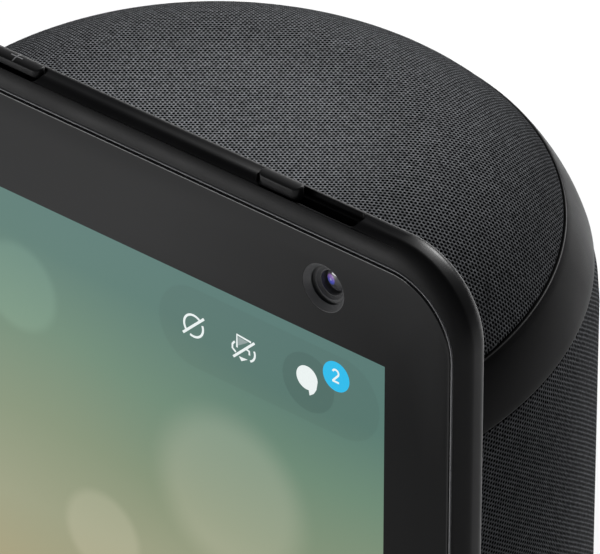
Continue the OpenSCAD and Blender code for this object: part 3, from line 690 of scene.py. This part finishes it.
# ---------- glass, gasket, screen ----------
def make_glass():
    def glass_loop(inset, depth):
        return rounded_loop(GLASS_HALF - inset, GLASS_LOW[2] + inset, GLASS_HIGH[2] - inset,
                            GLASS_CORNER - inset, FRONT + depth, 18)

    loops = [glass_loop(i, d) for i, d in ((0.35, 1.1), (0.0, 0.9), (0.0, 0.42), (0.05, 0.24), (0.16, 0.1),
                                           (0.32, 0.02), (0.5, 0.0))]
    glass = build("cover_glass", *loft(loops, True, True), sharp=60)
    window = block("cutter", (-ACTIVE_HALF, FRONT - 2, ACTIVE_LOW), (ACTIVE_HALF, FRONT + 4, ACTIVE_HIGH))
    eye = [circle_loop(CAMERA_X, CAMERA_Z, CAMERA_HOLE_R, y, 64) for y in (FRONT - 2, FRONT + 4)]
    carve(glass, [window, build("cutter", *loft(eye, True, True))], sharp=40)
    finish_piece(glass, "display", "cover_glass", replaces=("front_glass",))

    panel = [rounded_loop(ACTIVE_HALF - 0.01, ACTIVE_LOW + 0.01, ACTIVE_HIGH - 0.01, 0.2, FRONT + d, 3)
             for d in (3.2, 0.0)]
    screen = build("lit_screen", *loft(panel, True, True))
    finish_piece(screen, "display", "panel_glass", replaces=("lcd_panel",))

    # light lip with a rounded crest, standing in the groove between the glass and the rim
    def lip_loop(grow, depth):
        return rounded_loop(GLASS_HALF + grow, GLASS_LOW[2] - grow, GLASS_HIGH[2] + grow,
                            GLASS_CORNER + grow, FRONT + depth)

    loops = [lip_loop(g, d) for g, d in ((0.03, 1.1), (0.03, 0.6), (0.26, 0.6), (0.29, 0.16), (0.34, 0.05),
                                         (0.42, 0.01), (0.5, 0.05), (0.55, 0.16), (0.57, 0.6), (0.7, 0.65),
                                         (0.7, 1.1))]
    lip = build("glass_gasket_lip", *loft(loops, closed=True))
    finish = moulded("gasket_lip_finish", (0.36, 0.36, 0.365), 0.4, 0.1, 0.004)
    finish_piece(lip, "display", "gasket", finish, ("glass_gasket",))


make_glass()


def lathe(name, profile, closed=True):
    """Turned ring or solid round the camera's axis, from (radius, depth behind the glass face) points."""
    loops = [circle_loop(CAMERA_X, CAMERA_Z, radius, FRONT + depth, 64) for radius, depth in profile]
    return build(name, *loft(loops, not closed, not closed, closed))


def make_camera_eye():
    # the well's plastic is painted a far lighter grey than the shell's, standing in for the reflection in a
    # cover glass: painted reflection
    finish = moulded("camera_well_finish", (0.11, 0.11, 0.112), 0.55, 0.08, 0.005)
    # the shutter's blade slides through the gap between the cone and the well
    cone = lathe("camera_cone", [(4.48, 0.05), (4.4, 0.07), (4.1, 0.4), (3.5, 1.03), (3.55, 1.08),
                                 (4.48, 1.08)])
    finish_piece(cone, "display", "inner_plastic", finish)
    well = lathe("camera_well", [(3.3, 1.72), (2.95, 1.74), (2.9, 1.84), (2.5, 2.25), (2.32, 2.2),
                                 (2.28, 2.35), (2.27, 3.0), (2.42, 3.1), (2.42, 5.6), (5.6, 5.6),
                                 (5.6, 1.72)])
    finish_piece(well, "display", "inner_plastic", finish, ("camera_housing",))
    front, back = LENS_LOW[1] - 0.1 - FRONT, LENS_HIGH[1] - FRONT
    dome = [(0.02, 0), (0.6, 0.05), (1.2, 0.2), (1.7, 0.42), (2.05, 0.66), (2.18, 0.8), (2.22, 1.0)]
    profile = [(radius, front + depth) for radius, depth in dome] + [(2.22, back), (0.02, back)]
    eye = lathe("camera_eye", profile, closed=False)
    finish_piece(eye, "display", "lens_glass", replaces=("camera_lens",))


make_camera_eye()


# ---------- marks on the screen ----------
def on_screen(u, v, h):
    """A point h mm before the glass face, u and v mm from the lit area's upper right corner."""
    return (ACTIVE_HALF + u, FRONT - h, ACTIVE_HIGH + v)


def flat_on_screen(outline, high=0.03):
    return prism_between(outline, lambda u, v: on_screen(u, v, 0.0), lambda u, v: on_screen(u, v, high))


def screen_mark(name, parts, finish):
    finish_piece(build(name, *several(parts)), "display", "panel_glass", finish)


def make_marks():
    def stroke(path, width, high=0.03):
        return ribbon(path, width, on_screen, 0.0, high)

    x, z = -41.7, -9.7
    screen_mark("mark_quiet", [
        stroke(arc(x, z, 2.1, 46, 222, 20), 0.42),
        stroke(arc(x, z, 2.1, -112, 22, 16), 0.42),
        stroke([(x - 2.35, z - 2.2), (x + 2.3, z + 2.3)], 0.48, 0.035)], WHITE_MARK)
    x, z = -30.6, -9.75
    screen_mark("mark_muted", [
        stroke([(x - 1.5, z - 0.1), (x - 1.5, z + 2.45), (x + 1.6, z + 2.15)], 0.36),
        stroke([(x - 2.0, z + 0.85), (x - 2.5, z + 0.2), (x - 2.5, z - 0.6), (x - 1.75, z - 1.15)], 0.38),
        stroke(arc(x + 0.7, z - 0.1, 1.75, -65, 25, 9), 0.38),
        stroke([(x + 0.55, z + 0.35), (x + 1.2, z + 0.2), (x + 1.25, z - 0.55)], 0.36),
        flat_on_screen([(x + 0.85, z - 1.6), (x - 1.05, z - 1.7), (x - 0.5, z - 2.45)]),
        stroke([(x - 2.3, z - 2.25), (x + 2.35, z + 2.3)], 0.46, 0.035)], WHITE_MARK)
    fill = [(x - 1.25, z + 0.35), (x + 0.95, z + 1.85), (x - 1.25, z + 2.15)]
    screen_mark("mark_muted_fill", [flat_on_screen(fill, 0.02)], GREY_MARK)
    x, z = -16.75, -9.35
    bubble = arc(x, z, 2.3, 0, 280, 34) + [(x + 0.6, z - 3.25), (x + 1.5, z - 2.55), (x + 2.05, z - 1.55)]
    screen_mark("mark_message", [flat_on_screen(bubble)], WHITE_MARK)
    x, z = -10.43, -6.4
    screen_mark("mark_badge", [flat_on_screen(arc(x, z, 2.87, 0, 360 - 9, 39))], BLUE_MARK)
    two = arc(x - 0.1, z + 0.68, 0.64, 165, -35, 12) + [(x - 0.7, z - 1.0)]
    screen_mark("mark_count", [
        stroke(two, 0.36, 0.05),
        stroke([(x - 0.8, z - 1.03), (x + 0.65, z - 1.03)], 0.36, 0.055)], WHITE_MARK)


make_marks()


# ---------- controls on the rim ----------
def crown(top):
    """Height of a cap's rounded top, as a function of x and y."""
    return lambda x, y: top - CROWN_R + math.sqrt(max(CROWN_R ** 2 - (y - CONTROL_Y) ** 2, 0.01))


def make_cap(name, low, high, body, node, bottom):
    x, length, width = (low[0] + high[0]) / 2, high[0] - low[0], high[1] - low[1]
    height = crown(high[2])
    rings = [pill_loop(x, CONTROL_Y, length - 0.1, width - 0.1, bottom)]
    rings.append(pill_loop(x, CONTROL_Y, length, width, bottom + 0.1))
    for k in range(6):
        a = math.radians(90 * k / 5)
        inset = CAP_EDGE * (1 - math.cos(a))
        drop = CAP_EDGE * (1 - math.sin(a))
        rings.append(pill_loop(x, CONTROL_Y, length - 2 * inset, width - 2 * inset,
                               lambda px, py: height(px, py) - drop))
    for share in (0.8, 0.6, 0.4, 0.2, 0.02):
        rings.append(pill_loop(x, CONTROL_Y, length - width * (1 - share) - 2 * CAP_EDGE * share,
                               (width - 2 * CAP_EDGE) * share, height))
    cap = loft(rings, True, True)
    corners = ((-1, -1), (1, -1), (1, 1), (-1, 1))
    stem = loft([np.array([(x + sx * 2.6, CONTROL_Y + sy * 0.7, z) for sx, sy in corners])
                 for z in (low[2], bottom + 0.4)], True, True)
    finish_piece(build(name, *several([cap, stem])), body, "button_plastic", replaces=(node,))


def make_controls():
    key_bottom = SLOT_FLOOR + 0.9              # room for the buttons' travel
    make_cap("mute_cap", MUTE_LOW, MUTE_HIGH, "mute_key", "mute_button", key_bottom)
    make_cap("volume_down_cap", DOWN_LOW, DOWN_HIGH, "volume_down_key", "volume_down_button", key_bottom)
    make_cap("volume_up_cap", UP_LOW, UP_HIGH, "volume_up_key", "volume_up_button", key_bottom)
    make_cap("shutter_cap", KNOB_LOW, KNOB_HIGH, "camera_shutter", "shutter_knob", SLOT_FLOOR + 0.1)

    height = crown(UP_HIGH[2])

    def on_cap(u, v, h):
        return (u, CONTROL_Y + v, height(u, CONTROL_Y + v) + h)

    def print_mark(name, body, strokes):
        parts = [ribbon(path, 0.24, on_cap, -0.02, 0.02 + 0.004 * i, closed)
                 for i, (path, closed) in enumerate(strokes)]
        finish_piece(build(name, *several(parts)), body, "button_plastic", GREY_PRINT)

    def line(x0, y0, x1, y1, steps=8):
        return [(x0 + (x1 - x0) * i / steps, y0 + (y1 - y0) * i / steps) for i in range(steps + 1)]

    up = (UP_LOW[0] + UP_HIGH[0]) / 2
    down = (DOWN_LOW[0] + DOWN_HIGH[0]) / 2
    mute = (MUTE_LOW[0] + MUTE_HIGH[0]) / 2
    print_mark("volume_up_mark", "volume_up_key", [(line(up - 1.3, 0, up + 1.3, 0), False),
                                                   (line(up, -1.15, up, 1.15, 12), False)])
    print_mark("volume_down_mark", "volume_down_key", [(line(down - 1.3, 0, down + 1.3, 0), False)])
    print_mark("mute_mark", "mute_key", [(arc(mute, 0, 1.05, 0, 345, 23), True),
                                         (line(mute - 0.74, -0.74, mute + 0.74, 0.74), False)])


make_controls()


# ---------- turning body ----------
def drum_point(s, offset=0.0):
    """Radius and height on the drum's outer form, at arc length s above the shoulder line.
    offset moves the point outward."""
    if s <= 0:
        return DRUM_R + offset, SHOULDER_Z + s
    a = s / SHOULDER_R
    reach = SHOULDER_R + offset
    return FLAT_R + reach * math.cos(a), SHOULDER_Z + reach * math.sin(a)


def plane_length(angle, height):
    """Arc length at which the drum's form meets a collar plane, in the direction angle from the front."""
    low, high = -60.0, SHOULDER_R * math.pi / 2
    for _ in range(40):
        mid = (low + high) / 2
        r, z = drum_point(mid)
        if z < height - COLLAR_SLOPE * r * math.cos(angle):
            low = mid
        else:
            high = mid
    return low


def drum_ring(place):
    """Ring round the drum; place(number, angle) gives a radius and a height."""
    out = []
    for j in range(ROUND):
        a = 2 * math.pi * j / ROUND
        r, z = place(j, a)
        out.append((r * math.sin(a), -r * math.cos(a), z))
    return np.array(out)


def band(name, low, high, rows, edge_low, edge_high, inner):
    """A skin round the drum. low and high give arc length by angle; edge_low and edge_high are lists of
    (distance in from the edge, offset) that round the two rims; inner is the offset of its back."""
    lows = [low(2 * math.pi * j / ROUND) for j in range(ROUND)]
    highs = [high(2 * math.pi * j / ROUND) for j in range(ROUND)]

    def ring(place):
        return drum_ring(lambda j, a: drum_point(*place(lows[j], highs[j])))

    rings = [ring(lambda p, q: (p, inner))]
    rings += [ring(lambda p, q, d=d, o=o: (p + d, o)) for d, o in edge_low]
    first, last = edge_low[-1], edge_high[0]
    for i in range(1, rows):
        f = i / rows
        rings.append(ring(lambda p, q: (p + first[0] + (q - last[0] - p - first[0]) * f, first[1])))
    rings += [ring(lambda p, q, d=d, o=o: (q - d, o)) for d, o in edge_high]
    rings.append(ring(lambda p, q: (q, inner)))
    for i in range(1, 6):
        rings.append(ring(lambda p, q: (q + (p - q) * i / 6, inner)))
    return build(name, *loft(rings, closed=True))


def notch_cutter(grow):
    """The opening at the front of the collar and the dome, through which the hinge's arm passes."""
    return block("cutter", (-34 - grow, -80, 132.6 - grow), (34 + grow, -56 + grow, 154.4 + grow))


def make_body():
    bottom = SKIRT_TOP - SHOULDER_Z
    side = band("side_knit", lambda a: bottom + 0.05, lambda a: plane_length(a, COLLAR_LOW) - 0.06, 26,
                [(0.0, -0.45), (0.08, -0.2), (0.25, -0.05), (0.5, 0.0)],
                [(0.3, 0.0), (0.12, -0.02), (0.03, -0.14), (0.0, -0.45)], -FABRIC_T)
    finish_piece(side, "speaker", "charcoal_knit", FINISH["side_knit"], ("side_fabric",))

    collar = band("collar_trim", lambda a: plane_length(a, COLLAR_LOW) + 0.14,
                  lambda a: plane_length(a, COLLAR_HIGH) - 0.14, 8,
                  [(0.0, -1.3), (0.0, -0.1), (0.08, 0.1), (0.25, 0.25), (0.5, 0.3)],
                  [(0.5, 0.3), (0.25, 0.25), (0.08, 0.1), (0.0, -0.1), (0.0, -1.3)], -3.9)
    carve(collar, [notch_cutter(0.1)])
    finish_piece(collar, "speaker", "dark_plastic", replaces=("collar_band",))

    # the dome's skin: rings from the middle of the top down to the collar
    rows = 34
    crown_s = SHOULDER_R * math.pi / 2
    edges = [plane_length(2 * math.pi * j / ROUND, COLLAR_HIGH) + 0.06 for j in range(ROUND)]

    def dome_ring(share, offset, lift=0.0):
        """share 0 is the flat top's middle and 1 the skin's rim; lift is the distance short of it."""
        def place(j, a):
            run = share * (FLAT_R + crown_s - edges[j] - lift)
            if run <= FLAT_R:
                return run, DRUM_TOP + offset
            return drum_point(crown_s - (run - FLAT_R), offset)

        return drum_ring(place)

    shares = [0.02] + [(i + 1) / rows for i in range(rows - 1)]
    rings = [dome_ring(s, 0.0) for s in shares]
    rings += [dome_ring(1.0, offset, lift) for lift, offset in (
        (0.5, 0.0), (0.25, -0.05), (0.08, -0.2), (0.0, -0.45), (0.0, -FABRIC_T))]
    rings += [dome_ring(s, -FABRIC_T) for s in reversed(shares)]
    top = build("top_knit", *loft(rings, True, True))
    carve(top, [notch_cutter(0.3)])
    finish_piece(top, "speaker", "charcoal_knit", FINISH["top_knit"], ("top_fabric",))


make_body()


# ---------- floor and light ----------
def make_stage():
    def ring(radius):
        return np.array([(radius * math.cos(a), radius * math.sin(a), 0)
                         for a in np.linspace(0, 2 * math.pi, 96, endpoint=False)])

    floor = build("floor", *loft([ring(1), ring(400), ring(6000)], True, False))
    t = Tree("pale_floor")
    speck = t.noise(240, 3)
    t.set(Base_Color=t.colours(speck, [(0.3, (0.86, 0.86, 0.865)), (0.7, (0.9, 0.9, 0.9))]), Roughness=0.9,
          Emission_Color=(1, 1, 1, 1), Emission_Strength=0.10)
    floor.data.materials.append(t.material)

    def softbox(name, spot, aim, size, power):
        data = bpy.data.lights.new(name, "AREA")
        data.shape, data.size, data.size_y, data.energy = "RECTANGLE", size[0], size[1], power
        lamp = bpy.data.objects.new(name, data)
        lamp.location = spot
        lamp.rotation_mode = "QUATERNION"
        lamp.rotation_quaternion = (Vector(aim) - Vector(spot)).to_track_quat("-Z", "Y")
        lamp.visible_camera = False
        SCENE.collection.objects.link(lamp)

    softbox("key", (-0.12, 1.75, 1.40), (0, 0, 0.08), (0.7, 0.7), 58)
    softbox("top", (-0.35, 0.75, 2.2), (0, 0, 0.1), (1.2, 1.0), 4)
    softbox("low_front", (-1.2, -1.5, 0.11), (0, -0.08, 0.2), (1.4, 0.22), 9)

    # a pool of light on the floor, ahead and to the left, for the glass and the rim to mirror
    data = bpy.data.lights.new("floor_pool", "SPOT")
    data.energy, data.spot_size = 480, math.radians(21)
    data.spot_blend, data.shadow_soft_size = 1.0, 0.1
    lamp = bpy.data.objects.new("floor_pool", data)
    lamp.location = (-0.50, -0.84, 2.2)
    SCENE.collection.objects.link(lamp)

    world = bpy.data.worlds.new("studio")
    world.use_nodes = True
    tree = world.node_tree
    tree.nodes.clear()
    out = tree.nodes.new("ShaderNodeOutputWorld")
    sky = tree.nodes.new("ShaderNodeBackground")
    sky.inputs["Color"].default_value = (0.9, 0.93, 1.0, 1)
    sky.inputs["Strength"].default_value = 0.08
    tree.links.new(sky.outputs[0], out.inputs[0])
    SCENE.world = world
    SCENE.view_settings.view_transform = "Standard"


make_stage()
